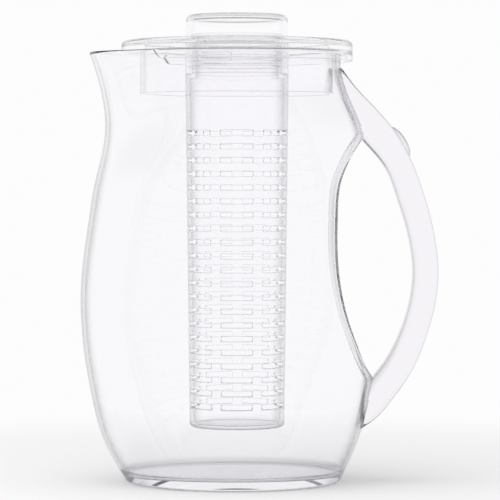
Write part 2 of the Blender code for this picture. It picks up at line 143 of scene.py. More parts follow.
def mesh_piece(name, points, faces, material, sharp):
    """A piece from points and faces, with its doubles merged, its faces turned outwards and its edges above
    `sharp` degrees kept crisp."""
    mesh = bpy.data.meshes.new(name)
    mesh.from_pydata(points.tolist(), [], faces)
    bm = bmesh.new()
    bm.from_mesh(mesh)
    bmesh.ops.remove_doubles(bm, verts=bm.verts, dist=MERGE_DISTANCE)
    bmesh.ops.recalc_face_normals(bm, faces=bm.faces)
    bm.to_mesh(mesh)
    bm.free()
    mesh.shade_smooth()
    mesh.set_sharp_from_angle(angle=math.radians(sharp))
    mesh.materials.append(material)
    piece = bpy.data.objects.new(name, mesh)
    bpy.context.scene.collection.objects.link(piece)
    return piece


def ring_faces(index, closed_rows=False):
    """Quads between neighbouring rings of a grid of point numbers, each ring closed on itself. The last ring
    is joined to the first where closed_rows is set."""
    low = index if closed_rows else index[:-1]
    high = np.roll(index, -1, 0) if closed_rows else index[1:]
    return np.stack([low, np.roll(low, -1, 1), np.roll(high, -1, 1), high], axis=2).reshape(-1, 4)


def grid_piece(name, rings, material, closed_rows=False, sharp=40):
    """A piece from a grid of points: rows of rings, each ring closed on itself. The first and last rings are
    joined to each other where closed_rows is set, and are otherwise closed by a fan about their middle."""
    rows, sides = rings.shape[:2]
    index = np.arange(rows * sides).reshape(rows, sides)
    faces = ring_faces(index, closed_rows).tolist()
    points = rings.reshape(-1, 3)
    if not closed_rows:
        points = np.concatenate([points, rings[[0, -1]].mean(1)])
        first, last = index[0], index[-1]
        faces += np.stack([np.roll(first, -1), first, np.full(sides, rows * sides)], axis=1).tolist()
        faces += np.stack([last, np.roll(last, -1), np.full(sides, rows * sides + 1)], axis=1).tolist()
    return mesh_piece(name, points, faces, material, sharp)


def flow_group():
    """Node group for moulded acrylic: faint flow waves as a height, and fine wiping marks as a roughness."""
    group = bpy.data.node_groups.new("moulding_flow", "ShaderNodeTree")
    for socket, value in (("Wave Scale", 9), ("Polish", 0.003), ("Wiping", 0.010)):
        given_socket = group.interface.new_socket(socket, in_out="INPUT", socket_type="NodeSocketFloat")
        given_socket.default_value = value
    group.interface.new_socket("Height", in_out="OUTPUT", socket_type="NodeSocketFloat")
    group.interface.new_socket("Roughness", in_out="OUTPUT", socket_type="NodeSocketFloat")
    nodes, links = group.nodes, group.links
    given = nodes.new("NodeGroupInput")
    result = nodes.new("NodeGroupOutput")
    place = nodes.new("ShaderNodeTexCoord")
    wave = nodes.new("ShaderNodeTexNoise")
    wave.inputs["Detail"].default_value = 1
    links.new(place.outputs["Object"], wave.inputs["Vector"])
    links.new(given.outputs["Wave Scale"], wave.inputs["Scale"])
    links.new(wave.outputs["Fac"], result.inputs["Height"])
    drawn_out = nodes.new("ShaderNodeMapping")
    drawn_out.inputs["Scale"].default_value = (1, 1, 0.12)
    links.new(place.outputs["Object"], drawn_out.inputs["Vector"])
    marks = nodes.new("ShaderNodeTexNoise")
    marks.inputs["Scale"].default_value = 420
    marks.inputs["Detail"].default_value = 4
    links.new(drawn_out.outputs["Vector"], marks.inputs["Vector"])
    sharpen = nodes.new("ShaderNodeMapRange")
    sharpen.inputs["From Min"].default_value = 0.5
    sharpen.inputs["From Max"].default_value = 0.8
    links.new(marks.outputs["Fac"], sharpen.inputs["Value"])
    scaled = nodes.new("ShaderNodeMath")
    scaled.operation = "MULTIPLY_ADD"
    links.new(sharpen.outputs["Result"], scaled.inputs[0])
    links.new(given.outputs["Wiping"], scaled.inputs[1])
    links.new(given.outputs["Polish"], scaled.inputs[2])
    links.new(scaled.outputs["Value"], result.inputs["Roughness"])
    return group


def colour_mix(nodes, links, factor, first):
    """A node that mixes the colour `first` with another by the factor of another node. Returns the socket for
    the other colour and the node's output."""
    node = nodes.new("ShaderNodeMix")
    node.data_type = "RGBA"
    links.new(factor, node.inputs["Factor"])
    # A Mix node has its colours on these sockets; the earlier ones are for values and vectors.
    node.inputs[6].default_value = (*first, 1)
    return node.inputs[7], node.outputs[2]


def stepped(nodes, links, value, low, high, start, end):
    """A node that carries a value smoothly from `start` at low to `end` at high. Returns its output."""
    node = nodes.new("ShaderNodeMapRange")
    node.interpolation_type = "SMOOTHSTEP"
    node.inputs["From Min"].default_value = low
    node.inputs["From Max"].default_value = high
    node.inputs["To Min"].default_value = start
    node.inputs["To Max"].default_value = end
    links.new(value, node.inputs["Value"])
    return node.outputs["Result"]


def acrylic(name, tint, upright_painted_edge, level_painted_edge, painted_edge_span, absorbed, density, wave_scale, wave_height):
    """Clear acrylic. Its surface is a Principled shader with full transmission and the faint waves and wiping
    marks of the flow group. Where it is seen aslant, over the given span of Layer Weight's facing, its tint
    turns to an edge colour: painted edge shade that draws the dark outlines of a clear wall's edge. Upright
    and level faces have a painted edge colour each. Inside it takes a little light per metre. Rays from the
    lamps pass it with a slight loss, which keeps the shadow pale."""
    material = bpy.data.materials.new(name)
    material.use_nodes = True
    nodes, links = material.node_tree.nodes, material.node_tree.links
    surface = nodes["Principled BSDF"]
    surface.inputs["IOR"].default_value = ACRYLIC_IOR
    surface.inputs["Transmission Weight"].default_value = 1
    # Painted edge shade: the tint turns towards an edge colour where the surface is seen aslant, with one
    # colour for upright faces and one for level faces.
    lie = nodes.new("ShaderNodeSeparateXYZ")
    links.new(nodes.new("ShaderNodeNewGeometry").outputs["Normal"], lie.inputs[0])
    level = nodes.new("ShaderNodeMath")
    level.operation = "ABSOLUTE"
    links.new(lie.outputs["Z"], level.inputs[0])
    other_painted_edge, edge = colour_mix(nodes, links, level.outputs["Value"], upright_painted_edge)
    other_painted_edge.default_value = (*level_painted_edge, 1)
    aslant = nodes.new("ShaderNodeLayerWeight")
    aslant.inputs["Blend"].default_value = 0.5
    painted_edge_share = stepped(nodes, links, aslant.outputs["Facing"], *painted_edge_span, 0, 1)
    other_tint, shaded = colour_mix(nodes, links, painted_edge_share, tint)
    links.new(edge, other_tint)
    links.new(shaded, surface.inputs["Base Color"])
    flow = nodes.new("ShaderNodeGroup")
    flow.node_tree = moulding_flow
    flow.inputs["Wave Scale"].default_value = wave_scale
    links.new(flow.outputs["Roughness"], surface.inputs["Roughness"])
    bump = nodes.new("ShaderNodeBump")
    bump.inputs["Strength"].default_value = 1
    bump.inputs["Distance"].default_value = wave_height
    links.new(flow.outputs["Height"], bump.inputs["Height"])
    links.new(bump.outputs["Normal"], surface.inputs["Normal"])
    rays = nodes.new("ShaderNodeLightPath")
    shade = nodes.new("ShaderNodeBsdfTransparent")
    shade.inputs["Color"].default_value = (*SHADOW_TINT, 1)
    mixed = nodes.new("ShaderNodeMixShader")
    links.new(rays.outputs["Is Shadow Ray"], mixed.inputs["Fac"])
    links.new(surface.outputs["BSDF"], mixed.inputs[1])
    links.new(shade.outputs["BSDF"], mixed.inputs[2])
    inside = nodes.new("ShaderNodeVolumeAbsorption")
    inside.inputs["Color"].default_value = (*absorbed, 1)
    inside.inputs["Density"].default_value = density
    output = nodes["Material Output"]
    links.new(mixed.outputs["Shader"], output.inputs["Surface"])
    links.new(inside.outputs["Volume"], output.inputs["Volume"])
    return material


moulding_flow = flow_group()
quarter = np.linspace(0, math.pi / 2, ROUND_POINTS)
half_turn = np.linspace(0, math.pi, RIM_POINTS)
rim_round = WALL / 2
foot = jug_rings(BASE_ROUND * (1 - np.cos(quarter)), BASE_ROUND * (np.sin(quarter) - 1))
outer_z = np.linspace(BASE_ROUND, RIM_Z - rim_round, OUTER_ROWS)
outer_z[0] += HOLD
outer_z[-1] -= HOLD
outer_wall = jug_rings(outer_z, 0 * outer_z)
rim_z = RIM_Z - rim_round + rim_round * np.sin(half_turn)
rim = jug_rings(rim_z, rim_round * (np.cos(half_turn) - 1))
inner_z = np.linspace(RIM_Z - rim_round, FLOOR + FLOOR_ROUND, INNER_ROWS)
inner_z[0] -= HOLD
inner_z[-1] += HOLD
inner_wall = jug_rings(inner_z, 0 * inner_z - WALL)
corner_z = FLOOR + FLOOR_ROUND * (1 - np.sin(quarter))
floor_corner = jug_rings(corner_z, FLOOR_ROUND * (np.cos(quarter) - 1) - WALL)
underside = shrunk(foot[0], FLOOR_SHARES)
inner_floor = shrunk(floor_corner[-1], FLOOR_SHARES[::-1])
jug_grid = np.concatenate([underside, foot, outer_wall, rim, inner_wall, floor_corner, inner_floor])
jug_acrylic = acrylic(
    "jug_acrylic", tint=(0.984, 0.981, 0.994), upright_painted_edge=PAINTED_EDGE_GREY, level_painted_edge=PAINTED_EDGE_PALE,
    painted_edge_span=(0.56, 0.96), absorbed=(0.80, 0.79, 0.84), density=4, wave_scale=9, wave_height=0.00008,
)
jug = grid_piece("clear_jug", jug_grid, jug_acrylic)
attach(jug, "jug")
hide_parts("jug_body")

# Handle: a solid bar of clear acrylic with flat faces and rounded corners, moulded apart and bonded to the
# wall above and below the finger hollow. A small lens on its outer edge is the thumb rest.
HANDLE_WIDTH = 0.020
HANDLE_REACH = 0.1067
GRIP_THICKNESS = 0.0132
OUTER_ROUND = 0.0017
INNER_ROUND = 0.0042
ROOT_SINK = 0.006
BOND_SINK = 0.0003
ROOT_SOFTEN = 0.0008
THUMB_Z = 0.1806
THUMB_LENGTH = 0.0184
THUMB_WIDTH = 0.0120
THUMB_RISE = 0.0029
HANDLE_STATIONS = 360
SIDE_POINTS = (49, 25, 17, 25)
CORNER_POINTS = 11
# A section point whose outward direction goes across by more than this share is on the outer face.
STRAIGHT_OUT = 0.999


def wall_x(y, z):
    """Distance of the jug's outside from the middle plane at depth y and height z, on the handle side: the
    ellipse of the handle side, cut by the finger hollow."""
    depth = eased(JUG_DEPTH, z)
    return scooped(eased(JUG_RIGHT, z) * np.sqrt(1 - (y / depth) ** 2), z)


def on_wall(z, out):
    """The (x, z) point at height z of the handle's middle, `out` beyond the jug's wall."""
    return (float(wall_x(0.0, np.array(z))) + out, z)


grip_inner = HANDLE_REACH - GRIP_THICKNESS
# Both edges of the handle from the upper root to the lower one, as (x, z) points.
OUTER_EDGE = [
    on_wall(0.2195, 0), (HANDLE_REACH - 0.0442, 0.2096), (HANDLE_REACH - 0.0321, 0.1967),
    (HANDLE_REACH - 0.0247, 0.1882), (HANDLE_REACH - 0.0152, 0.1722), (HANDLE_REACH - 0.0080, 0.1535),
    (HANDLE_REACH - 0.0028, 0.1343), (HANDLE_REACH, 0.1117), (HANDLE_REACH - 0.0013, 0.0963),
    (HANDLE_REACH - 0.0063, 0.0775), (HANDLE_REACH - 0.0142, 0.0587), (HANDLE_REACH - 0.0228, 0.0461),
    (HANDLE_REACH - 0.0337, 0.0334), on_wall(0.0281, -0.0010),
]
INNER_EDGE = [
    on_wall(0.2120, -ROOT_SINK), on_wall(0.2010, -ROOT_SINK), on_wall(0.1890, -ROOT_SINK),
    on_wall(0.1812, 0.0004), (grip_inner - 0.0145, 0.1661), (grip_inner - 0.0078, 0.1484),
    (grip_inner - 0.0026, 0.1309), (grip_inner, 0.1112), (grip_inner - 0.0013, 0.0978),
    (grip_inner - 0.0062, 0.0807), (grip_inner - 0.0147, 0.0638), on_wall(0.0545, -0.0005),
    on_wall(0.0405, -ROOT_SINK), on_wall(0.0315, -ROOT_SINK),
]


def along_edge(points, at):
    """Points of a smooth curve through the (x, z) points of one edge, at places counted in points. The
    curve's own measure is the length along the points, so that it bends evenly where they are unevenly
    spaced."""
    xs, zs = np.array(points).T
    lengths = np.concatenate([[0], np.cumsum(np.hypot(np.diff(xs), np.diff(zs)))])
    at = np.interp(at, np.arange(len(points)), lengths)
    return np.stack([eased(list(zip(lengths, xs)), at), eased(list(zip(lengths, zs)), at)], axis=1)


def bar_section():
    """The bar's section as two arrays of (across, sideways) pairs: the place on the bar's straight sides, in
    shares from -1 to 1, and the outward direction there. Sides hold the direction, corners turn it by a
    quarter. The first side is the outer face, which has more points for the thumb rest."""
    turn = np.linspace(0, math.pi / 2, CORNER_POINTS)
    places, outs = [], []
    for side, points in enumerate(SIDE_POINTS):
        straight = np.linspace(-1, 1, points)[1:-1]
        angle = side * math.pi / 2
        outwards = np.array([math.cos(angle), math.sin(angle)])
        sideways = np.array([-math.sin(angle), math.cos(angle)])
        places.append(outwards + straight[:, None] * sideways)
        outs.append(np.broadcast_to(outwards, (len(straight), 2)))
        places.append(np.broadcast_to(outwards + sideways, (len(turn), 2)))
        outs.append(np.cos(turn)[:, None] * outwards + np.sin(turn)[:, None] * sideways)
    return np.concatenate(places), np.concatenate(outs)


stations = np.linspace(0, len(OUTER_EDGE) - 1, HANDLE_STATIONS)
outer = along_edge(OUTER_EDGE, stations)
inner = along_edge(INNER_EDGE, stations)
bar_place, bar_out = bar_section()
across = outer - inner
thickness = np.hypot(*across.T)[:, None]
across = across / thickness
bar_middle = (outer + inner) / 2
# The inner corners are rounder than the outer ones, for the fingers. Across the sides the rounding runs
# evenly over.
corner_round = (INNER_ROUND + OUTER_ROUND) / 2 + bar_place[:, 0] * (OUTER_ROUND - INNER_ROUND) / 2
corner_round = np.minimum(corner_round, thickness / 3)
bar_reach = bar_place[:, 0] * (thickness / 2 - corner_round) + corner_round * bar_out[:, 0]
bar_y = bar_place[:, 1] * (HANDLE_WIDTH / 2 - corner_round) + corner_round * bar_out[:, 1]
# The thumb rest raises the outer face by half an ellipsoid about a point of the outer edge.
on_outer_face = bar_out[:, 0] > STRAIGHT_OUT
thumb_x = np.interp(-THUMB_Z, -outer[:, 1], outer[:, 0])
from_thumb = np.hypot(outer[:, 0] - thumb_x, outer[:, 1] - THUMB_Z)[:, None]
under_lens = 1 - (from_thumb / (THUMB_LENGTH / 2)) ** 2 - (bar_y / (THUMB_WIDTH / 2)) ** 2
bar_reach = bar_reach + THUMB_RISE * np.sqrt(np.maximum(under_lens, 0)) * on_outer_face
bar_x = bar_middle[:, :1] + bar_reach * across[:, :1]
bar_z = bar_middle[:, 1:] + bar_reach * across[:, 1:]
# Inside the jug the bar ends on the wall: the greater of the two distances, with a rounded corner between
# them.
bond_x = wall_x(bar_y, bar_z) - BOND_SINK
near_bond = np.maximum(ROOT_SOFTEN - np.abs(bar_x - bond_x), 0) / ROOT_SOFTEN
bar_x = np.maximum(bar_x, bond_x) + near_bond**2 * ROOT_SOFTEN / 4
handle_acrylic = acrylic(
    "handle_acrylic", tint=(0.955, 0.938, 0.965), upright_painted_edge=PAINTED_EDGE_GREY, level_painted_edge=PAINTED_EDGE_GREY,
    painted_edge_span=(0, 1.2), absorbed=(0.80, 0.78, 0.84), density=6, wave_scale=14, wave_height=0.00006,
)
handle = grid_piece("clear_handle", np.stack([bar_x, bar_y, bar_z], axis=2), handle_acrylic, sharp=50)
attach(handle, "jug")
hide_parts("handle")

# Lid: one round acrylic moulding, a plate with a rolled edge. A lip, grooved inside, hangs over the rim
# except above the spout, a deep skirt centres it in the mouth, and a ringed collar below takes the infuser's
# lugs on three ledges. A low ring on top centres the knob.
SEAT_Z = RIM_Z + 0.0003
PLATE_TOP_Z = SEAT_Z + 0.0056
PLATE_UNDER_Z = PLATE_TOP_Z - 0.003
EDGE_ROUND = 0.0026
FLANGE_RADIUS = 0.0614
LIP_BORE = 0.0588
LIP_MARGIN = 0.0005
LIP_FOOT_Z = SEAT_Z - 0.0054
GROOVE_Z = SEAT_Z - 0.0013
GROOVE_HALF = 0.0008
GROOVE_DEPTH = 0.0009
NOTCH_HALF = math.radians(43.1)
NOTCH_EDGE = math.radians(7)
NOTCH_RAISE = 0.99
SKIRT_RADIUS = 0.0510
SKIRT_WALL = 0.0019
SKIRT_FOOT_Z = SEAT_Z - 0.0226
COLLAR_RADIUS = 0.0274
COLLAR_BORE = 0.0256
COLLAR_FOOT_Z = SEAT_Z - 0.0121
COLLAR_RINGS = 3
BORE_ROWS = 50
RING_PITCH = 0.0028
RING_HALF = 0.0005
RING_DEPTH = 0.0004
TOP_RING_Z = SEAT_Z - 0.0030
SPIGOT_RADIUS = 0.0242
SPIGOT_BORE = 0.0224
SPIGOT_TOP_Z = PLATE_TOP_Z + 0.0034
LID_CORNER = 0.0004
LUG_REACH = 0.0011
LUG_HALF_ANGLE = math.radians(18)
LUG_HEIGHT = 0.0020
LUG_FOOT_Z = PLATE_UNDER_Z - 0.0062
LUG_GAP = 0.0003
STOP_START = math.radians(19)
STOP_END = math.radians(24)
# The sides of lugs, ledges and stops are short ramps, this wide in angle and in height.
SIDE_RAMP = math.radians(0.7)
RAMP = 0.0003
ON_SURFACE = 0.00001
TURN_SIDES = 360
HOLDING = 1.25
GENTLE = 25
turn_angle = np.arange(TURN_SIDES) * 2 * math.pi / TURN_SIDES


def eased_corners(points, size, steps=4):
    """A closed outline of (radius, height) points whose sharp corners are replaced by short curves: a
    parabola from `size` before each corner to `size` after it, or to a third of a shorter side. A holding
    point on either side keeps the straight sides flat in shading. Corners under GENTLE degrees stay single
    points."""
    points = np.array(points, float)
    back = np.roll(points, 1, 0) - points
    ahead = np.roll(points, -1, 0) - points
    turn = np.sum(-back * ahead, axis=1) / np.hypot(*back.T) / np.hypot(*ahead.T)
    back *= np.minimum(size / np.hypot(*back.T), 1 / 3)[:, None]
    ahead *= np.minimum(size / np.hypot(*ahead.T), 1 / 3)[:, None]
    t = np.linspace(0, 1, steps + 1)
    before = np.concatenate([[HOLDING], (1 - t) ** 2, [0]])[:, None]
    after = np.concatenate([[0], t**2, [HOLDING]])[:, None]
    curve = points[:, None] + back[:, None] * before + ahead[:, None] * after
    gentle = turn > math.cos(math.radians(GENTLE))
    curve[gentle, 0] = points[gentle]
    kept = np.ones(curve.shape[:2], bool)
    kept[gentle, 1:] = False
    return curve[kept]


def quarter_round(radius, height, size, start, steps=10):
    """Points of a quarter circle about (radius, height), turning clockwise from the angle `start`."""
    angles = start - np.linspace(0, math.pi / 2, steps + 1)
    return np.stack([radius + size * np.cos(angles), height + size * np.sin(angles)], axis=1)


def profile_line(radius, height):
    """Profile points at the given radii and heights, where either may be one number for all."""
    return np.stack(np.broadcast_arrays(radius, height), axis=1)


def turned(profile, angle):
    """Rings of a (radius, height) profile turned about Z."""
    radius, height = np.array(profile).T[:, :, None]
    return np.stack([radius * np.cos(angle), radius * np.sin(angle), height + 0 * angle], axis=2)


def ramp(value, low, high):
    """0 below low, 1 above high, and a smooth step between."""
    t = np.clip((value - low) / (high - low), 0, 1)
    return t * t * (3 - 2 * t)


def from_lug(angle):
    """The angle from the middle of the nearest of three lugs, from -60 to 60 degrees."""
    third = 2 * math.pi / 3
    return (angle + third / 2) % third - third / 2


rolled_edge = quarter_round(FLANGE_RADIUS - EDGE_ROUND, PLATE_TOP_Z - EDGE_ROUND, EDGE_ROUND, math.pi / 2)
ring_cut = [(0, RING_HALF), (RING_DEPTH, 0), (0, -RING_HALF)]
ring_z = [TOP_RING_Z - RING_PITCH * number for number in range(COLLAR_RINGS)]
collar_rings = [(COLLAR_RADIUS - depth, z + up) for z in ring_z for depth, up in ring_cut]
bore_z = np.linspace(COLLAR_FOOT_Z, PLATE_UNDER_Z, BORE_ROWS)[1:-1]
lid_corners = [
    (SPIGOT_RADIUS, SPIGOT_TOP_Z),
    (SPIGOT_RADIUS, PLATE_TOP_Z),
    *rolled_edge,
    (FLANGE_RADIUS, LIP_FOOT_Z),
    (LIP_BORE, LIP_FOOT_Z),
    (LIP_BORE, GROOVE_Z - GROOVE_HALF),
    (LIP_BORE + GROOVE_DEPTH, GROOVE_Z),
    (LIP_BORE, GROOVE_Z + GROOVE_HALF),
    (LIP_BORE, SEAT_Z),
    (SKIRT_RADIUS, SEAT_Z),
    (SKIRT_RADIUS, SKIRT_FOOT_Z),
    (SKIRT_RADIUS - SKIRT_WALL, SKIRT_FOOT_Z),
    (SKIRT_RADIUS - SKIRT_WALL, PLATE_UNDER_Z),
    (COLLAR_RADIUS, PLATE_UNDER_Z),
    *collar_rings,
    (COLLAR_RADIUS, COLLAR_FOOT_Z),
    (COLLAR_BORE, COLLAR_FOOT_Z),
    *profile_line(COLLAR_BORE, bore_z),
    (COLLAR_BORE, PLATE_UNDER_Z),
    (SPIGOT_BORE, PLATE_UNDER_Z),
    (SPIGOT_BORE, SPIGOT_TOP_Z),
]
lid_grid = turned(eased_corners(lid_corners, LID_CORNER), turn_angle)
# Over the spout the lip's foot is raised to the seat, with a soft slope at either end.
lid_z = lid_grid[:, :, 2]
lid_r = np.hypot(lid_grid[:, :, 0], lid_grid[:, :, 1])
on_lip = (lid_r > LIP_BORE - LIP_MARGIN) & (lid_z < SEAT_Z)
from_spout = np.abs((turn_angle % (2 * math.pi)) - math.pi)
notch = 1 - ramp(from_spout, NOTCH_HALF, NOTCH_HALF + NOTCH_EDGE)
raised_z = SEAT_Z + (lid_z - SEAT_Z) * (1 - NOTCH_RAISE * notch)
lid_grid[:, :, 2] = np.where(on_lip, raised_z, lid_z)
# Ledges and stops stand in from the collar's bore: boxes in angle and height with ramps for sides.
lug_place = from_lug(turn_angle)
ledge_top = LUG_FOOT_Z - LUG_GAP
ledge_low = ledge_top - LUG_HEIGHT
stop_top = LUG_FOOT_Z + LUG_HEIGHT
before_end = 1 - ramp(lug_place, STOP_END - SIDE_RAMP, STOP_END)
on_ledge = ramp(lug_place, -LUG_HALF_ANGLE, SIDE_RAMP - LUG_HALF_ANGLE) * before_end
on_stop = ramp(lug_place, STOP_START, STOP_START + SIDE_RAMP) * before_end
above_low = ramp(lid_z, ledge_low, ledge_low + RAMP)
ledge = on_ledge * above_low * (1 - ramp(lid_z, ledge_top - RAMP, ledge_top))
stop = on_stop * above_low * (1 - ramp(lid_z, stop_top - RAMP, stop_top))
in_bore = (np.abs(lid_r - COLLAR_BORE) < ON_SURFACE) & (lid_z > COLLAR_FOOT_Z) & (lid_z < PLATE_UNDER_Z)
drawn_in = 1 - np.where(in_bore, np.maximum(ledge, stop), 0) * LUG_REACH / COLLAR_BORE
lid_grid[:, :, :2] *= drawn_in[:, :, None]
lid_acrylic = acrylic(
    "lid_acrylic", tint=(0.997, 0.995, 0.999), upright_painted_edge=PAINTED_EDGE_GREY, level_painted_edge=PAINTED_EDGE_PALE,
    painted_edge_span=(0.65, 1.1), absorbed=(0.80, 0.79, 0.85), density=4, wave_scale=11, wave_height=0.00002,
)
lid = grid_piece("clear_lid", lid_grid, lid_acrylic, closed_rows=True)
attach(lid, "lid")
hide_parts("lid")

# Knob: a hollow acrylic cup, open below, bonded to the plate over the low ring. It is a moulding of its own,
# and its foot flares a little.
KNOB_RADIUS = 0.0270
KNOB_BORE = 0.0245
KNOB_TOP_Z = PLATE_TOP_Z + 0.0138
KNOB_FOOT_Z = PLATE_TOP_Z + 0.0003
KNOB_MIDDLE_Z = KNOB_FOOT_Z + 0.007
KNOB_ROUND = 0.0025
KNOB_WALL = 0.0025
KNOB_FLARE = 0.0008
KNOB_FLARE_HEIGHT = 0.0024
KNOB_INNER_ROUND = 0.0012
FLARE_POINTS = 8
TOP_RADII = (0.002, 0.010, 0.018)
UNDER_RADII = (0.016, 0.008, 0.002)
flare_share = np.linspace(0, 1, FLARE_POINTS)
flare_radius = KNOB_RADIUS + KNOB_FLARE * flare_share**2
flare_z = KNOB_FOOT_Z + KNOB_FLARE_HEIGHT * (1 - flare_share)
inner_radius = KNOB_BORE - KNOB_INNER_ROUND
inner_top_z = KNOB_TOP_Z - KNOB_WALL - KNOB_INNER_ROUND
inner_corner = quarter_round(inner_radius, inner_top_z, KNOB_INNER_ROUND, math.pi / 2)
side_z = (KNOB_TOP_Z - KNOB_ROUND - HOLD, KNOB_MIDDLE_Z, KNOB_FOOT_Z + KNOB_FLARE_HEIGHT + HOLD)
knob_profile = np.concatenate([
    profile_line((*TOP_RADII, KNOB_RADIUS - KNOB_ROUND - HOLD), KNOB_TOP_Z),
    quarter_round(KNOB_RADIUS - KNOB_ROUND, KNOB_TOP_Z - KNOB_ROUND, KNOB_ROUND, math.pi / 2),
    profile_line(KNOB_RADIUS, side_z),
    profile_line(flare_radius, flare_z),
    [(KNOB_BORE + HOLD, KNOB_FOOT_Z)],
    profile_line(KNOB_BORE, (KNOB_FOOT_Z + HOLD, KNOB_FOOT_Z + 2 * HOLD, inner_top_z - HOLD)),
    inner_corner[::-1],
    profile_line((inner_radius - HOLD, *UNDER_RADII), KNOB_TOP_Z - KNOB_WALL),
])
knob_acrylic = acrylic(
    "knob_acrylic", tint=(0.997, 0.995, 0.999), upright_painted_edge=PAINTED_EDGE_PALE, level_painted_edge=PAINTED_EDGE_PALE,
    painted_edge_span=(0.42, 1.25), absorbed=(0.80, 0.79, 0.85), density=4, wave_scale=16, wave_height=0.00002,
)
knob = grid_piece("clear_knob", turned(knob_profile, turn_angle), knob_acrylic)
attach(knob, "lid")
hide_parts("lid_knob")

# Infuser: a long acrylic tube, closed and rounded at the foot, that narrows a little downwards. Columns of
# level slots are moulded through its wall. Three lugs on its neck turn onto the ledges in the lid's collar.
TUBE_RADIUS = 0.0274
TUBE_FOOT_RADIUS = 0.0252
TUBE_WALL = 0.0020
TUBE_FOOT_Z = 0.029
TUBE_FOOT_ROUND = 0.0020
TUBE_INNER_ROUND = 0.0008
SHOULDER_Z = COLLAR_FOOT_Z - 0.0003
NECK_RADIUS = 0.0241
NECK_TOP_Z = PLATE_UNDER_Z - 0.0003
SLOT_COLUMNS = 7
SLOT_ROWS = 21
SLOT_WIDTH = 0.0184
SLOT_HEIGHT = 0.0027
SLOT_PITCH = 0.0072
SLOT_CORNER = 0.0005
SLOT_EDGE = 0.0004
TOP_SLOT_Z = SHOULDER_Z - 0.031
ACROSS = 16
UPRIGHT = 8
# Round a slot's end, its straight stretch is spent by the time this many times the turn's sine reaches 1.
STRAIGHTEN = 1.6
FACE_SHARES = (0, 0.5, 0.85)
EDGE_POINTS = 3
NECK_ROWS = 60
TUBE_ROWS = 12
FOOT_ROWS = 5
FOOT_STEPS = 7
FOOT_SHARES = (0.99, 0.75, 0.5, 0.25, 0.04)


def tube_radius(z):
    """The tube's outer radius, which narrows evenly from the shoulder to the foot."""
    return np.interp(z, [TUBE_FOOT_Z, SHOULDER_Z], [TUBE_FOOT_RADIUS, TUBE_RADIUS])


def box_loop(half_width, half_height, corner):
    """A loop round a box from its lower left corner: ACROSS steps along the foot and the top, UPRIGHT steps
    up the sides. Where corner is set, a side is a half circle of that radius, drawn apart in height by a
    clipped multiple of the turn's sine. The second half of the loop is the first, turned half round."""
    foot_x = np.linspace(-1, 1, ACROSS + 1)[:-1] * (half_width - corner)
    foot_half = np.stack([foot_x, np.full(ACROSS, -half_height)], axis=1)
    turn = np.linspace(-math.pi / 2, math.pi / 2, UPRIGHT + 1)[:-1]
    if corner:
        x = half_width - corner + corner * np.cos(turn)
        lift = np.clip(np.sin(turn) * STRAIGHTEN, -1, 1) * (half_height - corner)
        y = corner * np.sin(turn) + lift
    else:
        x = np.full(UPRIGHT, half_width)
        y = np.linspace(-1, 1, UPRIGHT + 1)[:-1] * half_height
    half = np.concatenate([foot_half, np.stack([x, y], axis=1)])
    return np.concatenate([half, -half])


# One slot's cell is a loop round the cell, loops that draw in to the slot's edge, and the same again inside.
# Shares run from the cell's border, 0, to the slot's edge, 1, with a small rounding over the wall's edge.
cell_half = math.pi * TUBE_RADIUS / SLOT_COLUMNS
border = box_loop(cell_half, SLOT_PITCH / 2, 0)
hole = box_loop(SLOT_WIDTH / 2, SLOT_HEIGHT / 2, SLOT_CORNER)
rounded = box_loop(SLOT_WIDTH / 2 + SLOT_EDGE, SLOT_HEIGHT / 2 + SLOT_EDGE, SLOT_CORNER + SLOT_EDGE)
cell_face = border + np.array(FACE_SHARES)[:, None, None] * (rounded - border)
edge_turn = np.linspace(0, math.pi / 2, EDGE_POINTS)
over_edge = hole + (rounded - hole) * (1 - np.sin(edge_turn[:, None, None]))
cell = np.concatenate([cell_face, over_edge, over_edge[::-1], cell_face[::-1]])
half_depth = np.concatenate([np.zeros(len(FACE_SHARES)), SLOT_EDGE * (1 - np.cos(edge_turn))])
cell_depth = np.concatenate([half_depth, TUBE_WALL - half_depth[::-1]])
column = np.arange(SLOT_COLUMNS) * 2 * math.pi / SLOT_COLUMNS - math.pi / 2
row_z = TOP_SLOT_Z - SLOT_PITCH * np.arange(SLOT_ROWS)
column_turn = column[:, None, None, None]
row_height = row_z[None, :, None, None]
cell_angle = column_turn + cell[:, :, 0] / TUBE_RADIUS + 0 * row_height
cell_z = row_height + cell[:, :, 1] + 0 * column_turn
cell_r = tube_radius(cell_z) - cell_depth[:, None]
cells = np.stack([cell_r * np.cos(cell_angle), cell_r * np.sin(cell_angle), cell_z], axis=4)
cells = cells.reshape(-1, *cell.shape[:2], 3)
cell_index = np.arange(cells[..., 0].size).reshape(cells.shape[:3])
cell_low, cell_high = cell_index[:, :-1], cell_index[:, 1:]
cell_quads = np.stack([cell_low, cell_high, np.roll(cell_high, -1, 2), np.roll(cell_low, -1, 2)], axis=3)

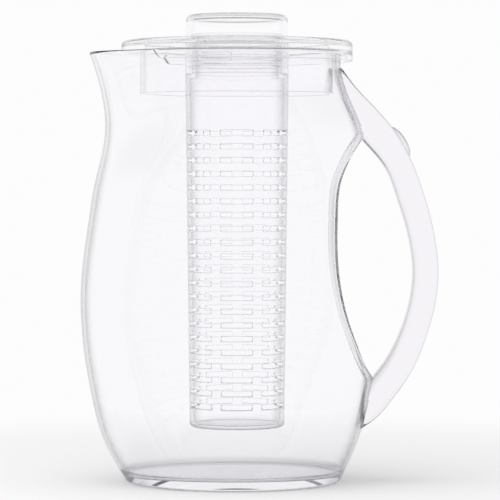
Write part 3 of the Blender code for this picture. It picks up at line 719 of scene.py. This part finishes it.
# Plain rings above and below the slots share the cells' border angles, so that the tube closes where they
# meet.
border_turn = (np.arange(ACROSS) / ACROSS * 2 - 1) * cell_half / TUBE_RADIUS
ring_angle = (column[:, None] + border_turn).ravel()
slots_top = TOP_SLOT_Z + SLOT_PITCH / 2
slots_foot = row_z[-1] - SLOT_PITCH / 2
tube_z = np.linspace(slots_top, SHOULDER_Z, TUBE_ROWS)
neck_z = np.linspace(SHOULDER_Z, NECK_TOP_Z, NECK_ROWS)
tube_bore_z = np.linspace(SHOULDER_Z - TUBE_WALL, slots_top, TUBE_ROWS)
upper_profile = np.concatenate([
    profile_line(tube_radius(tube_z), tube_z),
    profile_line(NECK_RADIUS, neck_z),
    profile_line(NECK_RADIUS - TUBE_WALL, neck_z[::-1]),
    [(NECK_RADIUS - TUBE_WALL, SHOULDER_Z - TUBE_WALL)],
    profile_line(tube_radius(tube_bore_z) - TUBE_WALL, tube_bore_z),
])
upper = turned(upper_profile, ring_angle)
lug_z = upper_profile[:, 1:]
lug_turn = from_lug(ring_angle)
lug_mask = ramp(lug_turn, -LUG_HALF_ANGLE, SIDE_RAMP - LUG_HALF_ANGLE)
lug_mask = lug_mask * (1 - ramp(lug_turn, LUG_HALF_ANGLE - SIDE_RAMP, LUG_HALF_ANGLE))
lug_mask = lug_mask * ramp(lug_z, LUG_FOOT_Z, LUG_FOOT_Z + RAMP)
lug_mask = lug_mask * (1 - ramp(lug_z, LUG_FOOT_Z + LUG_HEIGHT - RAMP, LUG_FOOT_Z + LUG_HEIGHT))
on_neck = np.abs(upper_profile[:, :1] - NECK_RADIUS) < ON_SURFACE
upper[:, :, :2] *= (1 + on_neck * lug_mask * LUG_REACH / NECK_RADIUS)[:, :, None]
foot_centre_z = TUBE_FOOT_Z + TUBE_FOOT_ROUND
foot_out = quarter_round(TUBE_FOOT_RADIUS - TUBE_FOOT_ROUND, foot_centre_z, TUBE_FOOT_ROUND, 0, FOOT_STEPS)
inner_foot_radius = TUBE_FOOT_RADIUS - TUBE_WALL - TUBE_INNER_ROUND
inner_centre_z = TUBE_FOOT_Z + TUBE_WALL + TUBE_INNER_ROUND
foot_in = quarter_round(inner_foot_radius, inner_centre_z, TUBE_INNER_ROUND, 0, FOOT_STEPS)
outer_foot_z = (*np.linspace(slots_foot, foot_centre_z, FOOT_ROWS)[:-1], foot_centre_z + HOLD)
inner_foot_z = (*np.linspace(slots_foot, inner_centre_z, FOOT_ROWS)[:-1], inner_centre_z + HOLD)
outer_foot = np.concatenate([
    profile_line(tube_radius(outer_foot_z), outer_foot_z),
    foot_out,
    profile_line(foot_out[-1, 0] * np.array(FOOT_SHARES), TUBE_FOOT_Z),
])
inner_foot = np.concatenate([
    profile_line(tube_radius(inner_foot_z) - TUBE_WALL, inner_foot_z),
    foot_in,
    profile_line(foot_in[-1, 0] * np.array(FOOT_SHARES), TUBE_FOOT_Z + TUBE_WALL),
])
tube_parts = [(upper, False), (turned(outer_foot, ring_angle), True), (turned(inner_foot, ring_angle), True)]
tube_sides = len(ring_angle)
tube_points = [cells.reshape(-1, 3)]
tube_faces = cell_quads.reshape(-1, 4).tolist()
count = len(tube_points[0])
for part_rings, closes in tube_parts:
    part_index = count + np.arange(len(part_rings) * tube_sides).reshape(-1, tube_sides)
    tube_faces += ring_faces(part_index).tolist()
    tube_points.append(part_rings.reshape(-1, 3))
    count += part_index.size
    if closes:
        last_ring = part_index[-1]
        fan = np.stack([last_ring, np.roll(last_ring, -1), np.full(tube_sides, count)], axis=1)
        tube_faces += fan.tolist()
        tube_points.append(part_rings[-1].mean(0)[None])
        count += 1
infuser_acrylic = acrylic(
    "infuser_acrylic", tint=(0.996, 0.994, 0.999), upright_painted_edge=PAINTED_EDGE_GREY, level_painted_edge=PAINTED_EDGE_GREY,
    painted_edge_span=(0.3, 1.2), absorbed=(0.80, 0.79, 0.85), density=4, wave_scale=15, wave_height=0.00003,
)
infuser = mesh_piece("clear_infuser", np.concatenate(tube_points), tube_faces, infuser_acrylic, sharp=40)
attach(infuser, "infuser")
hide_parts("infuser")

# Studio: a wide round white table that keeps the pitcher's shadow near it and glows evenly farther out, in a
# white surround that dims above. A softbox hangs overhead, and the camera is a little above the middle of
# the pitcher.
WHITE = 0.98
PAPER = 0.9
TOP = 0.30
TOP_START = 0.25
TOP_END = 0.5
TABLE_RADIUS = 6
TABLE_SIDES = 96
TABLE_DROP = 0.0003
SHADOW_REACH = 0.12
GLOW_START = 0.45
LIGHT_BOUNCES = 64
SOFTBOX_PLACE = (-0.16, -0.25, 1.3)
SOFTBOX_SIZE = (1.2, 1.0)
SOFTBOX_WATTS = 15.7
CAMERA_PLACE = (0.0069, -1.5105, 0.1622)
CAMERA_DROP = 0.0393
CAMERA_LENS = 204.5
CAMERA_SENSOR = 36
table_turn = np.arange(TABLE_SIDES) * 2 * math.pi / TABLE_SIDES
table_edge = np.stack([np.cos(table_turn), np.sin(table_turn)], axis=1) * TABLE_RADIUS
table_points = np.column_stack([table_edge, np.full(TABLE_SIDES, -TABLE_DROP)])
table_mesh = bpy.data.meshes.new("table")
table_mesh.from_pydata(table_points.tolist(), [], [list(range(TABLE_SIDES))])
table = bpy.data.objects.new("table", table_mesh)
bpy.context.scene.collection.objects.link(table)
paper = bpy.data.materials.new("table_paper")
paper.use_nodes = True
nodes, links = paper.node_tree.nodes, paper.node_tree.links
matte = nodes["Principled BSDF"]
matte.inputs["Base Color"].default_value = (PAPER, PAPER, PAPER, 1)
matte.inputs["Roughness"].default_value = 0.9
matte.inputs["Specular IOR Level"].default_value = 0
on_table = nodes.new("ShaderNodeTexCoord")
from_middle = nodes.new("ShaderNodeVectorMath")
from_middle.operation = "LENGTH"
links.new(on_table.outputs["Object"], from_middle.inputs[0])
glow = nodes.new("ShaderNodeEmission")
glow.inputs["Color"].default_value = (WHITE, WHITE, WHITE, 1)
glow_share = stepped(nodes, links, from_middle.outputs["Value"], SHADOW_REACH, GLOW_START, 0, 1)
table_mix = nodes.new("ShaderNodeMixShader")
links.new(glow_share, table_mix.inputs["Fac"])
links.new(matte.outputs["BSDF"], table_mix.inputs[1])
links.new(glow.outputs["Emission"], table_mix.inputs[2])
links.new(table_mix.outputs["Shader"], nodes["Material Output"].inputs["Surface"])
table_mesh.materials.append(paper)

# The surround is white at the sides and dims to a grey top, which the level edges of clear pieces mirror as
# grey lines.
world = bpy.data.worlds.new("studio")
bpy.context.scene.world = world
world.use_nodes = True
nodes, links = world.node_tree.nodes, world.node_tree.links
towards = nodes.new("ShaderNodeSeparateXYZ")
links.new(nodes.new("ShaderNodeTexCoord").outputs["Generated"], towards.inputs[0])
strength = stepped(nodes, links, towards.outputs["Z"], TOP_START, TOP_END, 1, TOP)
surround = nodes["Background"]
surround.inputs["Color"].default_value = (WHITE, WHITE, WHITE, 1)
links.new(strength, surround.inputs["Strength"])

# The softbox lights the table and isn't mirrored in the clear pieces, whose edge lines it would break up.
softbox_data = bpy.data.lights.new("softbox", "AREA")
softbox_data.shape = "RECTANGLE"
softbox_data.size, softbox_data.size_y = SOFTBOX_SIZE
softbox_data.energy = SOFTBOX_WATTS
softbox = bpy.data.objects.new("softbox", softbox_data)
softbox.location = SOFTBOX_PLACE
softbox.visible_glossy = False
softbox.visible_transmission = False
aside, ahead, up = SOFTBOX_PLACE
softbox.rotation_euler = (math.atan2(ahead, up), math.atan2(aside, up), 0)
bpy.context.scene.collection.objects.link(softbox)
# Light is followed through as many clear walls as stand in a row at the lid, and round the bends inside them.
bpy.context.scene.cycles.max_bounces = LIGHT_BOUNCES
bpy.context.scene.cycles.transmission_bounces = LIGHT_BOUNCES
bpy.context.scene.cycles.glossy_bounces = LIGHT_BOUNCES
# The lamps' light passes the clear walls along shadow rays. Bent light would count it twice on the table.
bpy.context.scene.cycles.caustics_refractive = False
bpy.context.scene.cycles.caustics_reflective = False

camera_data = bpy.data.cameras.new("camera")
camera_data.sensor_width = CAMERA_SENSOR
camera_data.lens = CAMERA_LENS
camera = bpy.data.objects.new("camera", camera_data)
camera.location = CAMERA_PLACE
camera.rotation_euler = (math.pi / 2 - math.atan2(CAMERA_DROP, -CAMERA_PLACE[1]), 0, 0)
bpy.context.scene.collection.objects.link(camera)
bpy.context.scene.camera = camera
bpy.context.scene.view_settings.view_transform = "Standard"
